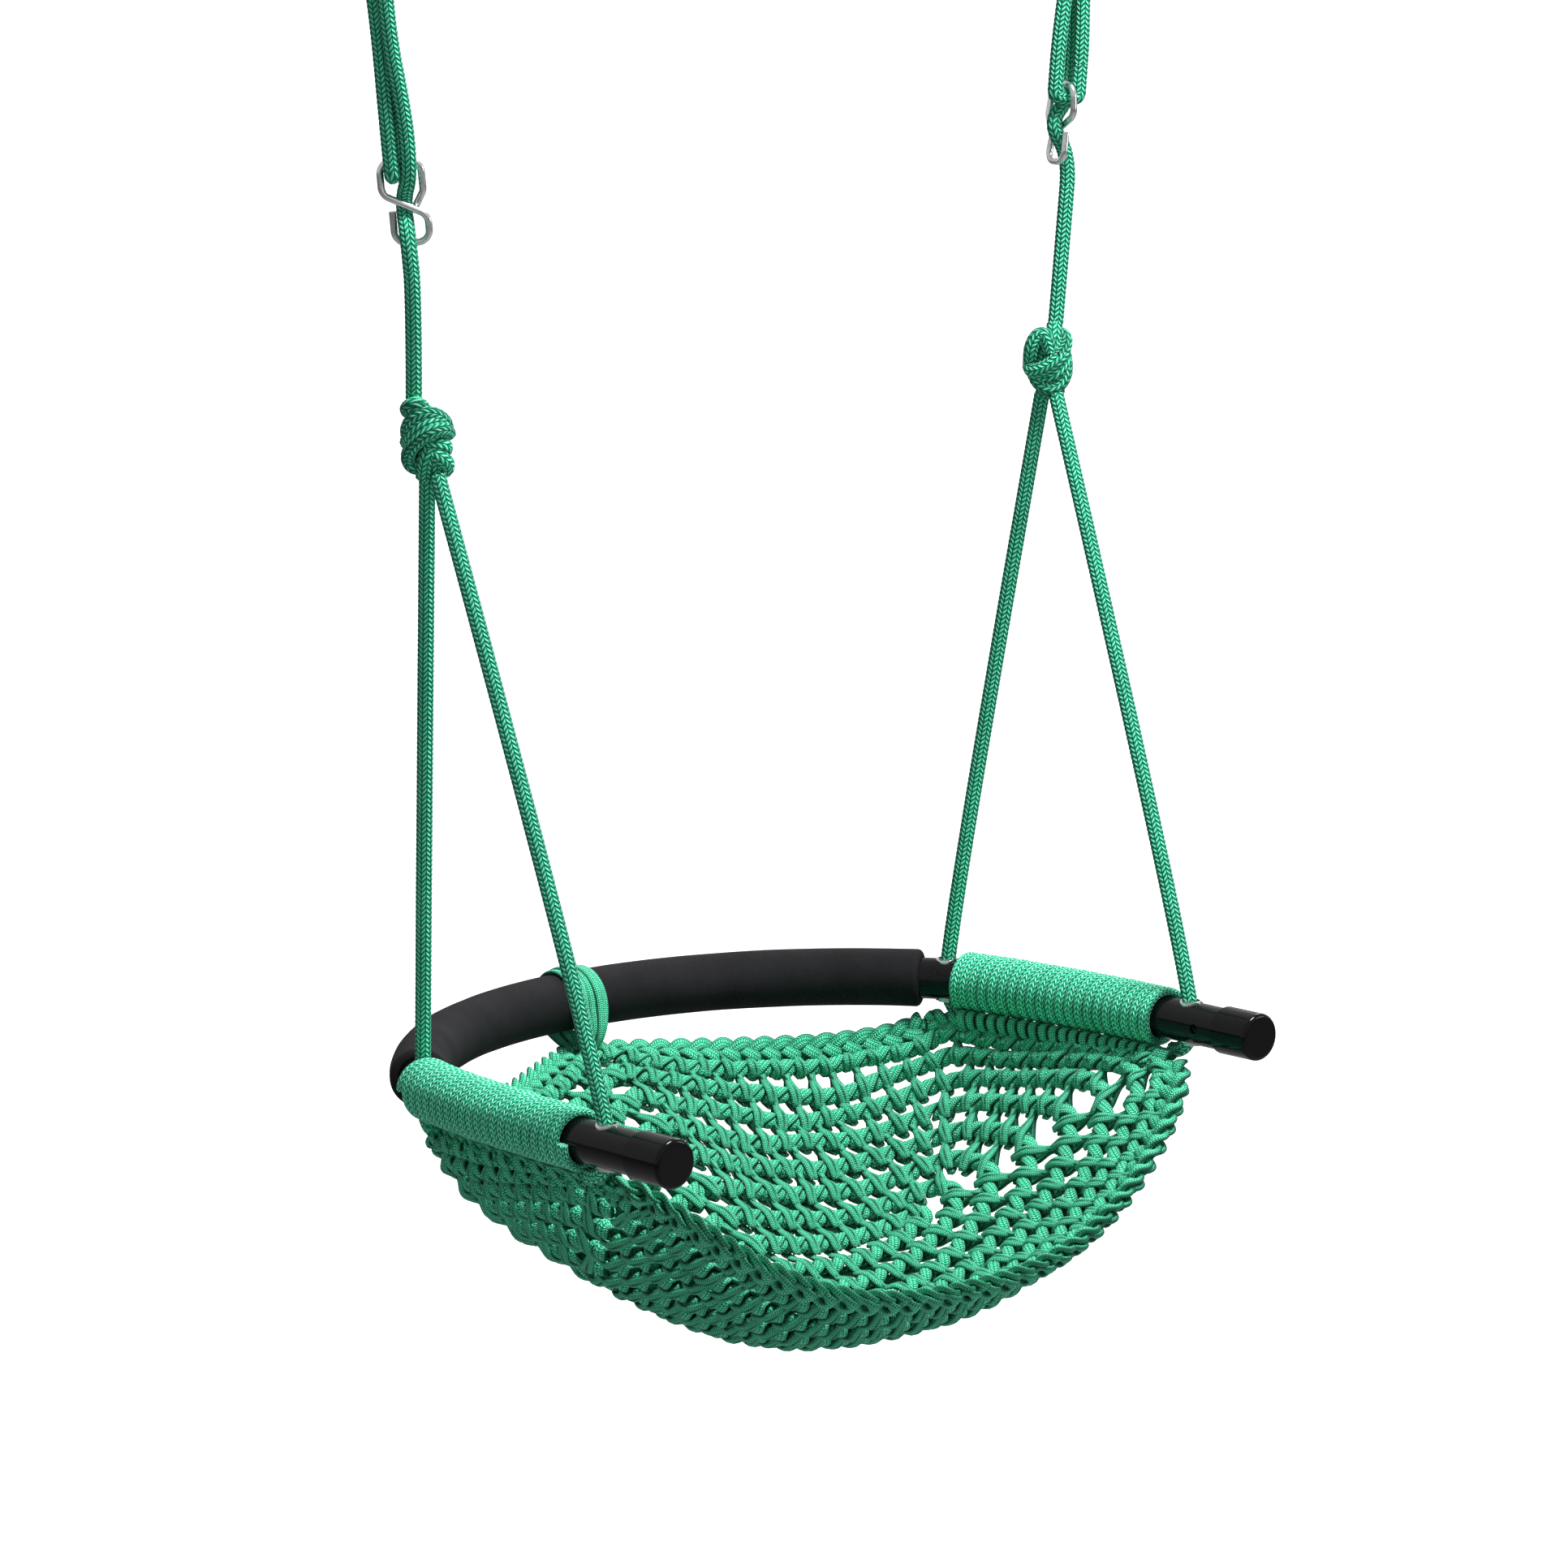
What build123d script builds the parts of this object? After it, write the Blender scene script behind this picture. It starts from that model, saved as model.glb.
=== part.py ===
from build123d import *
import math
import os

# Child's swing seat: a crocheted rope net hung in a U-bent tube, on two ropes.
# Millimetres. +X to the sitter's left arm, -Y forward through the open end, +Z up.
# The origin lies midway between the two hanging rings, level with their inner tops.
# Heights named *_z below are measured from the plane of the bent tube.

# Bent tube
tube_od = 25.0
tube_wall = 1.5
arm_half_spacing = 226.5
tube_front_y = -187.0
bow_start_y = -126.0
bow_radius = 900.0
bow_turn = 10.0
corner_radius = 80.0
corner_turn = 25.0

# End caps
cap_wall = 1.5
cap_end = 3.0
cap_length = 28.0
cap_rim = 2.4
tube_fit = 0.1

# Foam sleeve on the back of the bend
foam_t = 4.6
foam_gap = 15.5
foam_edge = 4.0
soft_gap = 0.3

# Rope holes and their eyelets
front_hole_y = -133.0
rear_hole_y = 54.0
rope_d = 8.0
eyelet_clear = 1.0
eyelet_wall = 0.5
eyelet_rim = 1.8
eyelet_flange_t = 0.8
hole_fit = 0.1
inner_hole_d = 6.0
inner_hole_y = -147.0

# Rope wound on the arms
winding_t = 5.0
winding_front_gap = 17.0
winding_rear_gap = 7.3

# Net
net_t = 10.0
net_hang = 6.2
net_front_lead = 7.0
net_rear_lead = 8.0
net_front_inset = 12.5
net_rear_inset = 10.0
net_back_gap = 5.0
net_front_bulge = 53.0
net_front_depth = 89.0
net_mid_depth = 131.0
net_rear_depth = 66.0
net_back_depth = 10.0
net_lashing_rise = 5.0
net_fullness = 2.65
net_sharpness = 1.22
net_pull = 2.5
lacing_t = 6.0
lacing_outset = 1.5
lacing_margin = 22.0

# Lashing that ties the net's back edge to the foam
lashing_w = 27.0
lashing_t = 5.0

# Ropes
knot_z = 380.0
knot_outset = 11.2
knot_height = 42.0
knot_width = 26.0
knot_clear = 0.4
leg_clear = 0.15
knot_entry = {-1: (-5.4, 4.8), 1: (3.3, -3.0)}
leg_bend_z = 26.0
front_turn_gap = 2.5
rear_turn_gap = 0.45
rope_lean = 0.102
adjuster_z = {-1: 511.0, 1: 519.0}
adjuster_facing = {-1: -41.9, 1: 75.1}
adjuster_inset = {-1: 0.0, 1: 4.0}
wire_d = 4.0
weave_gap = 1.8
loop_gap = 1.25
strand_gap = 1.6
lead_in = 14.0

# Where the three strands of each side run close together, in rope diameters from the rope's line
gather_drop = 77.0
gathered = {
    -1: ((-0.95, -1.02), (-0.66, 0.18), (0.28, 0.72)),
    1: ((0.27, 0.61), (0.06, -0.59), (-1.24, -0.45)),
}

# Hanging rings and the tails of the ropes
ring_wire_z = 690.0
ring_bore = 41.0
ring_wire = 7.0
ring_strand_gap = 1.7
ring_slack = 1.6
tail_drop = 28.0
tail_knot_d = 16.0

tube_r = tube_od / 2
foam_r = tube_r + soft_gap + foam_t
rope_r = rope_d / 2
eyelet_bore = rope_d + 2 * eyelet_clear
eyelet_flange_d = eyelet_bore + 2 * eyelet_rim
winding_r = tube_r + soft_gap + winding_t
net_edge_z = -(winding_r + net_hang)
knot_x = arm_half_spacing + knot_outset
front_turn_z = -(tube_r + rope_r + front_turn_gap)
rear_turn_z = -(winding_r + rope_r + rear_turn_gap)
weave_out = wire_d / 2 + rope_r + weave_gap
loop_unit = rope_d + wire_d
upper_loop_y = 2 * loop_unit
loop_corner_r = 0.58 * loop_unit
adjuster_reach = 3 * loop_unit
ring_r = (ring_bore + ring_wire) / 2
hang_height = ring_wire_z + ring_r + ring_bore / 2
sides = {-1: "left", 1: "right"}


def write(shape, name):
    """Drop a shape from the tube's plane to its place under the rings and save it."""
    export_step(Pos(0, 0, -hang_height) * shape, f"parts/{name}.step")


def corner_radii(points, round_ring=()):
    """Radii of a route's corners, each as large as its two runs allow, fuller round the ring."""
    points = [Vector(*p) for p in points]
    radii = []
    for index, (before, corner, after) in enumerate(zip(points, points[1:], points[2:])):
        turn = (corner - before).get_angle(after - corner)
        shorter = min((corner - before).length, (after - corner).length)
        share = 0.49 if index in round_ring else 0.45
        radii.append(share * shorter / math.tan(math.radians(turn / 2)))
    return radii


def rounded(points, radii=None):
    """Straight runs joined by arcs."""
    points = [Vector(*p) for p in points]
    return FilletPolyline(*points, radius=radii or corner_radii(points))


def tube_along(path, radius):
    """A round solid swept along a path, face to face with what its ends meet."""
    start = Plane(origin=path @ 0, z_dir=path % 0)
    return sweep(start * Circle(radius), path=path)


def rope(name, points, radii=None):
    """One plain length of rope; its arc radii and length are printed."""
    path = rounded(points, radii)
    arcs = [round(e.radius, 1) for e in path.edges() if e.geom_type == GeomType.CIRCLE]
    solid = tube_along(path, rope_r)
    expected = math.pi * rope_r**2 * path.length
    print(f"{name}: length {path.length:.0f} mm, radii {arcs}, volume ratio {solid.volume / expected:.4f}")
    write(solid, name)
    return solid


def arm_path():
    """Centre line of the right half of the tube, from its front end to the back."""
    straight = Line((arm_half_spacing, tube_front_y), (arm_half_spacing, bow_start_y))
    bow = JernArc(straight @ 1, (0, 1), bow_radius, bow_turn)
    corner = JernArc(bow @ 1, bow % 1, corner_radius, corner_turn)
    back_radius = (corner @ 1).X / math.cos(math.radians(bow_turn + corner_turn))
    back = JernArc(corner @ 1, corner % 1, back_radius, 90 - bow_turn - corner_turn)
    return Wire([straight, bow, corner, back])


half_path = arm_path()


def fraction_at(y):
    """How far along the half path the centre line reaches y."""
    low, high = 0.0, 1.0
    for _ in range(40):
        middle = (low + high) / 2
        if (half_path @ middle).Y < y:
            low = middle
        else:
            high = middle
    return (low + high) / 2


def arm_point(fraction, side, z=0.0):
    """A point of the centre line on either side, lifted to z."""
    p = half_path @ fraction
    return (side * p.X, p.Y, z)


def path_between(start, end):
    """Part of the right centre line between two fractions."""
    return half_path.trim(start, end)


def mirrored_pair(shape):
    return {1: shape, -1: mirror(shape, about=Plane.YZ)}


def sleeve(path, inner_r, outer_r):
    """A hollow sleeve along part of the centre line."""
    start = Plane(origin=path @ 0, z_dir=path % 0)
    return sweep(start * (Circle(outer_r) - Circle(inner_r)), path=path)


front_fraction = fraction_at(front_hole_y)
rear_fraction = fraction_at(rear_hole_y)
hole_fractions = {"front": front_fraction, "rear": rear_fraction}
net_front_y = front_hole_y + net_front_lead
net_rear_y = rear_hole_y + net_rear_lead
net_front_half = arm_half_spacing - net_front_inset
net_rear_half = (half_path @ fraction_at(net_rear_y)).X - net_rear_inset
net_back_y = (half_path @ 1).Y - net_back_gap


def frame_tube():
    """The bent tube with its rope holes and the small inner holes."""
    half = sleeve(half_path, tube_r - tube_wall, tube_r)
    tube = half + mirror(half, about=Plane.YZ)
    hole_r = eyelet_bore / 2 + eyelet_wall + hole_fit
    for side in sides:
        for fraction in hole_fractions.values():
            tube -= Pos(arm_point(fraction, side)) * Cylinder(hole_r, 2 * tube_od)
        inner = Pos(side * (arm_half_spacing - tube_r), inner_hole_y, 0)
        tube -= inner * Rot(0, 90, 0) * Cylinder(inner_hole_d / 2, tube_od / 2)
    return tube


def end_cap():
    """A push-on cap for the right arm: a cup with a rounded end face."""
    outer = Cylinder(tube_r + tube_fit + cap_wall, cap_length)
    outer = fillet(outer.edges().sort_by(Axis.Z)[-1], cap_rim)
    bore = Pos(0, 0, -cap_end) * Cylinder(tube_r + tube_fit, cap_length)
    along = Pos(arm_half_spacing, tube_front_y + cap_length / 2 - cap_end, 0)
    return along * Rot(90, 0, 0) * (outer - bore)


def foam_sleeve():
    """The foam tube on the bend, rounded at its ends."""
    start = rear_fraction + foam_gap / half_path.length
    half = sleeve(path_between(start, 1.0), tube_r + soft_gap, foam_r)
    rims = half.edges().filter_by(GeomType.CIRCLE)
    rims = rims.filter_by(lambda e: (e.arc_center - half_path @ start).length < 1)
    half = fillet(rims.sort_by(SortBy.RADIUS)[-1], foam_edge)
    return half + mirror(half, about=Plane.YZ)


def eyelet(fraction, up):
    """A rolled eyelet: a barrel through the tube's wall and a flange saddled on it."""
    bore_r = eyelet_bore / 2
    barrel_h = tube_wall + eyelet_flange_t + 1.5
    top_z = tube_r + eyelet_flange_t
    barrel = Pos(0, 0, top_z - barrel_h / 2) * Cylinder(bore_r + eyelet_wall, barrel_h)
    reach = eyelet_flange_d / half_path.length
    skin = sleeve(path_between(fraction - reach, fraction + reach), tube_r + 0.02, top_z)
    skin = Pos(-(half_path @ fraction).X, 0, 0) * skin
    centre = Pos(0, (half_path @ fraction).Y, 0)
    flange = skin & centre * Pos(0, 0, tube_r) * Cylinder(eyelet_flange_d / 2, tube_od)
    body = centre * barrel + flange - centre * Cylinder(bore_r, 4 * tube_od)
    if not up:
        body = mirror(body, about=Plane.XY)
    return Pos((half_path @ fraction).X, 0, 0) * body


def arm_winding():
    """The rope wound on the right arm, as one closed sleeve."""
    length = half_path.length
    start = front_fraction + winding_front_gap / length
    end = rear_fraction - winding_rear_gap / length
    return sleeve(path_between(start, end), tube_r + soft_gap, winding_r)


def net_point(u, v):
    """A point of the net's middle surface; u runs arm to arm, v front edge to back edge."""
    angle = math.pi / 2 * u
    across = math.sin(angle)
    half = net_front_half + (net_rear_half - net_front_half) * v**3
    pull = v**net_pull
    edge_y = net_front_y + (net_rear_y - net_front_y) * v
    reach = -net_front_bulge + (net_back_y - net_rear_y + net_front_bulge) * v
    plan = (1 - pull) * math.cos(angle) + pull * (1 - abs(across))
    hang = max(1 - abs(across) ** net_fullness, 0.0) ** net_sharpness
    sag = (1 - pull) * hang + pull * math.sin(math.pi * abs(u))
    z = net_edge_z - net_depth(v) * sag - pull * net_lashing_rise * math.cos(angle)
    return Vector(half * across, edge_y + reach * plan, z)


def net_depth(v):
    """How far the net sags below its side edges, from its front edge to its back."""
    stations = [0.0, 0.4, 0.8, 1.0]
    depths = [net_front_depth, net_mid_depth, net_rear_depth, net_back_depth]
    total = 0.0
    for i, vi in enumerate(stations):
        weight = 1.0
        for j, vj in enumerate(stations):
            if j != i:
                weight *= (v - vj) / (vi - vj)
        total += weight * depths[i]
    return total


def net_section(u):
    """The closed band of the net at one station across the seat."""
    inner, outer = [], []
    for k in range(9):
        v = k / 8
        step = 1e-3
        along_v = net_point(u, min(v + step, 1)) - net_point(u, max(v - step, 0))
        along_u = net_point(min(u + step, 1), v) - net_point(max(u - step, -1), v)
        normal = along_v.cross(along_u).normalized()
        if abs(u) > 0.99:
            normal = Vector(-u, 0, 0)
        middle = net_point(u, v)
        inner.append(middle + normal * (net_t / 2))
        outer.append(middle - normal * (net_t / 2))
    edges = [
        Spline(*inner),
        Line(inner[-1], outer[-1]),
        Spline(*outer[::-1]),
        Line(outer[0], inner[0]),
    ]
    return Wire(edges)


def seat_net():
    """The net as one closed thin bowl, lofted from arm to arm."""
    stations = [-1.0, -0.85, -0.65, -0.42, -0.2, 0.0, 0.2, 0.42, 0.65, 0.85, 1.0]
    return Solid.make_loft([net_section(u) for u in stations])


def arm_lacing():
    """The cord that laces the net's side edge to the right winding, as one strip."""
    length = half_path.length
    inset = net_front_inset - lacing_outset
    nearest = inset - lacing_t / 2
    top = -math.sqrt((winding_r + soft_gap) ** 2 - nearest**2)
    bottom = net_edge_z + soft_gap
    start = front_fraction + (winding_front_gap + lacing_margin / 2) / length
    end = rear_fraction - (winding_rear_gap + lacing_margin) / length
    path = path_between(start, end)
    profile = Plane(origin=path @ 0, z_dir=path % 0, x_dir=(0, 0, 1))
    strip = Pos((top + bottom) / 2, -inset, 0) * Rectangle(top - bottom, lacing_t)
    return sweep(profile * strip, path=path)


def back_lashing():
    """Turns of cord round the foam's middle, which hold up the net's back edge."""
    start = 1 - lashing_w / 2 / half_path.length
    inner_r = foam_r + soft_gap
    half = sleeve(path_between(start, 1.0), inner_r, inner_r + lashing_t)
    return half + mirror(half, about=Plane.YZ)


def knot(side):
    """The knot that gathers the two legs, as a rounded upright barrel."""
    end_r = knot_width / 2
    shoulder = knot_height / 2 - end_r
    body = Cylinder(end_r, 2 * shoulder) + Pos(0, 0, shoulder) * Sphere(end_r)
    return Pos(side * knot_x, 0, knot_z) * (body + Pos(0, 0, -shoulder) * Sphere(end_r))


def leg(side, end):
    """A leg of the rope: knot, eyelets, then the turn onto the winding."""
    fraction = hole_fractions[end]
    x, y, _ = arm_point(fraction, side)
    turn_z = front_turn_z if end == "front" else rear_turn_z
    toward = 1 if end == "front" else -1
    run = (winding_front_gap - soft_gap) / half_path.length
    finish = arm_point(fraction + toward * run, side, turn_z)
    bend = Vector(x, y, leg_bend_z)
    centre = Vector(side * knot_x, 0, knot_z)
    start = centre + (bend - centre).normalized() * (knot_height / 2 + leg_clear)
    return rope(f"rope_leg_{end}_{sides[side]}", [start, bend, (x, y, turn_z), finish])


def adjuster_plane(side):
    """Plane of the wire figure: local X across, local Y up the rope, local Z out of it."""
    z = adjuster_z[side]
    up = Vector(side * rope_lean, 0, 1).normalized()
    angle = math.radians(adjuster_facing[side])
    across = Vector(math.cos(angle), math.sin(angle), 0)
    normal = across.cross(up).normalized()
    centre = (side * (knot_x + rope_lean * (z - knot_z) - adjuster_inset[side]), 0, z)
    return Plane(origin=centre, x_dir=up.cross(normal), z_dir=normal)


def adjuster(side):
    """A figure of eight bent from one wire, its ends overlapping at the waist."""
    left = -(rope_r + wire_d / 2 + loop_gap)
    front = 0.45 * wire_d
    behind = -0.65 * wire_d
    unit = loop_unit
    points = [
        (left, -0.33 * unit, 0.0), (left, -1.83 * unit, 0.0), (unit, -1.83 * unit, 0.0),
        (unit, -0.58 * unit, front), (-unit, 0.5 * unit, front), (-unit, upper_loop_y, 0.0),
        (0.875 * unit, upper_loop_y, -0.5), (0.875 * unit, 0.5 * unit, behind),
        (0.44 * unit, -0.25 * unit, behind - 0.6),
    ]
    radii = [loop_corner_r] * 6 + [0.86 * loop_corner_r]
    plane = adjuster_plane(side)
    path = rounded([plane.from_local_coords(Vector(*p)) for p in points], radii)
    return tube_along(path, wire_d / 2)


strand_apart = rope_r + strand_gap / 2
weave_top = (strand_apart, adjuster_reach, weave_out)
bight_front = (-strand_apart, adjuster_reach, weave_out)
bight_back = (-strand_apart, adjuster_reach, -weave_out)
weave_bottom = (0.5, -adjuster_reach, weave_out)


def rope_weave(side):
    """The rope in front of the lower loop, behind the waist and out through the upper loop."""
    before_waist = (weave_bottom[0], -1.5 * loop_unit, weave_out)
    after_waist = (weave_top[0], 1.42 * loop_unit, weave_out)
    waist = (-1.5, 0.5, -weave_out - 0.6)
    local = [weave_bottom, before_waist, waist, after_waist, weave_top]
    plane = adjuster_plane(side)
    points = [plane.from_local_coords(Vector(*p)) for p in local]
    rope(f"rope_weave_{sides[side]}", points)


def rope_bight(side):
    """The return of the rope round the top of the upper loop."""
    x, top, z = bight_front
    turn_y = upper_loop_y - 0.5
    local = [(x, top, z), (x, turn_y, z), (x, turn_y - z, 0), (x, turn_y, -z), (x, top, -z)]
    plane = adjuster_plane(side)
    a, b, c, d, e = [plane.from_local_coords(Vector(*p)) for p in local]
    path = Wire([Line(a, b), ThreePointArc(b, c, d), Line(d, e)])
    write(tube_along(path, rope_r), f"rope_bight_{sides[side]}")


def rope_lower(side):
    """The rope from the knot up to the adjuster."""
    x, y, z = weave_bottom
    plane = adjuster_plane(side)
    end = plane.from_local_coords(Vector(x, y, z))
    below = plane.from_local_coords(Vector(x, y - lead_in, z))
    aside, behind = knot_entry[side]
    start = Vector(side * knot_x + aside, behind, knot_z + knot_height / 2 + knot_clear)
    rope(f"rope_lower_{sides[side]}", [start, below, end])


def rope_upper(side):
    """Adjuster to ring and back: the working part and, beside it, the tail with its knot."""
    seat_r = ring_wire / 2 + rope_r + ring_slack
    plane = adjuster_plane(side)
    ring_x = side * (knot_x + rope_lean * (ring_wire_z - knot_z))
    gather_x = ring_x - side * rope_lean * gather_drop
    gather_z = ring_wire_z - gather_drop
    gather = [(gather_x + x * rope_d, y * rope_d, gather_z) for x, y in gathered[side]]
    starts = [plane.from_local_coords(Vector(*p)) for p in (weave_top, bight_front, bight_back)]
    leads = [p + plane.y_dir * lead_in for p in starts]
    top = ring_wire_z + seat_r
    apart = rope_r + ring_strand_gap / 2
    pair_x = ring_x + side * apart
    front = (pair_x, side * seat_r, top)
    back = (pair_x, -side * seat_r, top)
    over = [starts[0], leads[0], gather[0], front, back, gather[1], leads[1], starts[1]]
    rope(f"rope_over_ring_{sides[side]}", over, corner_radii(over, (2, 3)))
    tail_x = ring_x - side * apart
    front = (tail_x, -side * seat_r, top)
    back = (tail_x, side * seat_r, top)
    end = Vector(tail_x - side * 7.0, side * (seat_r + 5.0), ring_wire_z - tail_drop)
    tail = [starts[2], leads[2], gather[2], front, back, end]
    rope(f"rope_tail_{sides[side]}", tail, corner_radii(tail, (2, 3)))
    along = (end - Vector(*back)).normalized()
    centre = end + along * (tail_knot_d / 2 + soft_gap)
    write(Pos(centre) * Sphere(tail_knot_d / 2), f"tail_knot_{sides[side]}")


def hanging_ring(side):
    """The welded steel ring that each rope hangs from."""
    x = side * (knot_x + rope_lean * (ring_wire_z - knot_z))
    return Pos(x, 0, ring_wire_z + ring_r) * Rot(90, 0, 0) * Torus(ring_r, ring_wire / 2)


os.makedirs("parts", exist_ok=True)
write(frame_tube(), "frame_tube")
write(foam_sleeve(), "foam_sleeve")
write(seat_net(), "seat_net")
write(back_lashing(), "back_lashing")
caps = mirrored_pair(end_cap())
windings = mirrored_pair(arm_winding())
lacings = mirrored_pair(arm_lacing())
for side, name in sides.items():
    write(caps[side], f"end_cap_{name}")
    write(windings[side], f"arm_winding_{name}")
    write(lacings[side], f"arm_lacing_{name}")
    write(knot(side), f"knot_{name}")
    write(adjuster(side), f"adjuster_{name}")
    write(hanging_ring(side), f"ring_{name}")
    rope_weave(side)
    rope_bight(side)
    rope_lower(side)
    rope_upper(side)
    for end in hole_fractions:
        leg(side, end)
for end, fraction in hole_fractions.items():
    for level, up in (("top", True), ("bottom", False)):
        pair = mirrored_pair(eyelet(fraction, up))
        for side, name in sides.items():
            write(pair[side], f"eyelet_{end}_{name}_{level}")
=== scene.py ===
import math

import bpy
import numpy as np
from mathutils import Matrix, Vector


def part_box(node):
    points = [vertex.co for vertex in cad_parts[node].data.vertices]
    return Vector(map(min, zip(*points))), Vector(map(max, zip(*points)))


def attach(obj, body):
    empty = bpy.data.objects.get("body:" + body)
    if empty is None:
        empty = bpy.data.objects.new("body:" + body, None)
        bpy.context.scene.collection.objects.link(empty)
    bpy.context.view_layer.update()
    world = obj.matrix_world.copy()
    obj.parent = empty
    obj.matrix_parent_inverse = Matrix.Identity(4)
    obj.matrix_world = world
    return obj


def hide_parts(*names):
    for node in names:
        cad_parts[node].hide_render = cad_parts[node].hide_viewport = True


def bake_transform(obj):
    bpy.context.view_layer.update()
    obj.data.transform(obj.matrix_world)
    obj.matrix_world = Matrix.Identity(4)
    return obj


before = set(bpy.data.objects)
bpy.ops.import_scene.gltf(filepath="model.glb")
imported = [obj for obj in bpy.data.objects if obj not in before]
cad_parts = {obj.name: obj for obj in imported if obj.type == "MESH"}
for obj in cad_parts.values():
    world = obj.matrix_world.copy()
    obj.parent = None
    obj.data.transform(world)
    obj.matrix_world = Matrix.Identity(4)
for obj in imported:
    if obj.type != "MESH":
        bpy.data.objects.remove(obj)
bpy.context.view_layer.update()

# Lengths are millimetres measured from the plane of the bent tube, and meshes are written in
# metres below the hanging rings, as the frame has them.
MM = 0.001
hang_height = 734.5

# Bent tube
tube_r = 12.5
arm_x = 226.5
tube_front_y = -187.0
bow_start_y = -126.0
bow_radius = 900.0
bow_turn = math.radians(10)
corner_radius = 80.0
corner_turn = math.radians(25)
front_hole_y = -133.0
rear_hole_y = 54.0

# Foam and windings
foam_r = 17.4
foam_gap = 15.5
foam_edge = 4.0
foam_steps = 260
foam_sides = 72
soft_gap = 0.3
winding_t = 5.0
winding_columns = 12
winding_pitch = 7.3
winding_front_gap = 17.0
winding_rear_gap = 7.3
winding_spill = 2.0
winding_r = tube_r + soft_gap + winding_t
lacing_loops = 19
lacing_inset = 11.0
lacing_drop = 21.5
lacing_margin = 6.0
lashing_turns = 5
lashing_pitch = 5.3
lashing_angle = math.radians(-122)
lashing_reach = 12.0

# Ropes
rope_d = 8.0
rope_r = rope_d / 2
rope_half_width = 4.5
rope_half_thick = 3.9
rope_columns = 10
rope_pitch = 2.9
braid_slope = 0.93
knot_z = 380.0
knot_x = 237.7
knot_height = 42.0
knot_clear = 0.4
rope_lean = 0.102
leg_clear = 0.15
leg_bend_z = 26.0
front_turn_gap = 2.5
rear_turn_gap = 0.45
lead_in = 14.0
adjuster_z = {-1: 511.0, 1: 519.0}
adjuster_facing = {-1: -41.9, 1: 75.1}
adjuster_reach = 36.0
weave_out = 7.8
adjuster_inset = {-1: 0.0, 1: 4.0}
knot_entry = {-1: (-5.4, 4.8), 1: (3.3, -3.0)}
strand_apart = 4.8
weave_top = (strand_apart, adjuster_reach, weave_out)
weave_bottom = (0.5, -adjuster_reach, weave_out)
bight_front = (-strand_apart, adjuster_reach, weave_out)
bight_back = (-strand_apart, adjuster_reach, -weave_out)
bight_turn = 23.5
gathered = {
    -1: ((-0.95, -1.02), (-0.66, 0.18), (0.28, 0.72)),
    1: ((0.27, 0.61), (0.06, -0.59), (-1.24, -0.45)),
}
gather_drop = 77.0
ring_wire_z = 690.0
ring_wire = 7.0
ring_strand_gap = 1.7
ring_slack = 1.6
tail_drop = 28.0
tail_aside = 7.0
tail_behind = 5.0

# Net
net_half_front = 214.0
net_half_rear = 195.0
net_front_y = -126.0
net_rear_y = 62.0
net_back_y = 161.0
net_edge_z = -24.0
net_bulge = 53.0
net_depths = ((0.0, 89.0), (0.4, 131.0), (0.8, 66.0), (1.0, 10.0))
net_rise = 5.0
net_fullness = 2.65
net_sharpness = 1.22
net_pull = 2.5
net_rings = 8
net_row_groups = ((0, 4), (4, 6), (6, net_rings))
net_row_span = 150.0
net_core_u = 0.34
net_row_u = 0.63
net_row_v = 0.48
net_edge_u = 0.98
net_end = 0.985
stitch = 15.5
cord_half_width = 3.0
cord_half_thick = 1.55
cord_columns = 12
post_height = 4.4
cord_pitch = 1.3
end_bulge = 0.5

upward = np.array([0, 0, 1.0])
side_names = {-1: "left", 1: "right"}
random = np.random.default_rng(7)


# ---------------------------------------------------------------- camera

camera_azimuth = math.radians(-41.9)
camera_elevation = math.radians(10.73)
camera_roll = math.radians(-0.4)
camera_distance = 4.2156
camera_target = np.array([-0.0077, -0.036, -0.5739])
camera_lens = 168.6
toward_camera = np.array([math.sin(camera_azimuth), -math.cos(camera_azimuth), 0.0])
image_right = np.array([math.cos(camera_azimuth), math.sin(camera_azimuth), 0.0])


def placed(right, up, out, place):
    """The matrix of an object that stands at a place with those axes."""
    return Matrix([[*row] for row in np.column_stack([right, up, out, place])] + [[0, 0, 0, 1]])


def make_camera():
    """The camera, from the front left and a little above."""
    out = toward_camera * math.cos(camera_elevation) + upward * math.sin(camera_elevation)
    up = np.cross(out, image_right)
    right = image_right * math.cos(camera_roll) + up * math.sin(camera_roll)
    up = np.cross(out, right)
    place = camera_target + out * camera_distance
    camera = bpy.data.objects.new("camera", bpy.data.cameras.new("camera"))
    camera.matrix_world = placed(right, up, out, place)
    camera.data.lens = camera_lens
    camera.data.sensor_width = 36.0
    camera.data.clip_end = 100.0
    bpy.context.scene.collection.objects.link(camera)
    bpy.context.scene.camera = camera


# ---------------------------------------------------------------- materials

def new_material(name):
    """A material with its nodes, its links and its shader."""
    material = bpy.data.materials.new(name)
    material.use_nodes = True
    nodes = material.node_tree.nodes
    return material, nodes, material.node_tree.links, nodes["Principled BSDF"]


def math_node(nodes, links, operation, first, second=None, clamp=False):
    """A math node's result; each input is a number or an output."""
    node = nodes.new("ShaderNodeMath")
    node.operation = operation
    node.use_clamp = clamp
    for socket, value in zip(node.inputs, (first, second)):
        if value is None:
            continue
        if isinstance(value, (int, float)):
            socket.default_value = value
        else:
            links.new(value, socket)
    return node.outputs[0]


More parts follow.
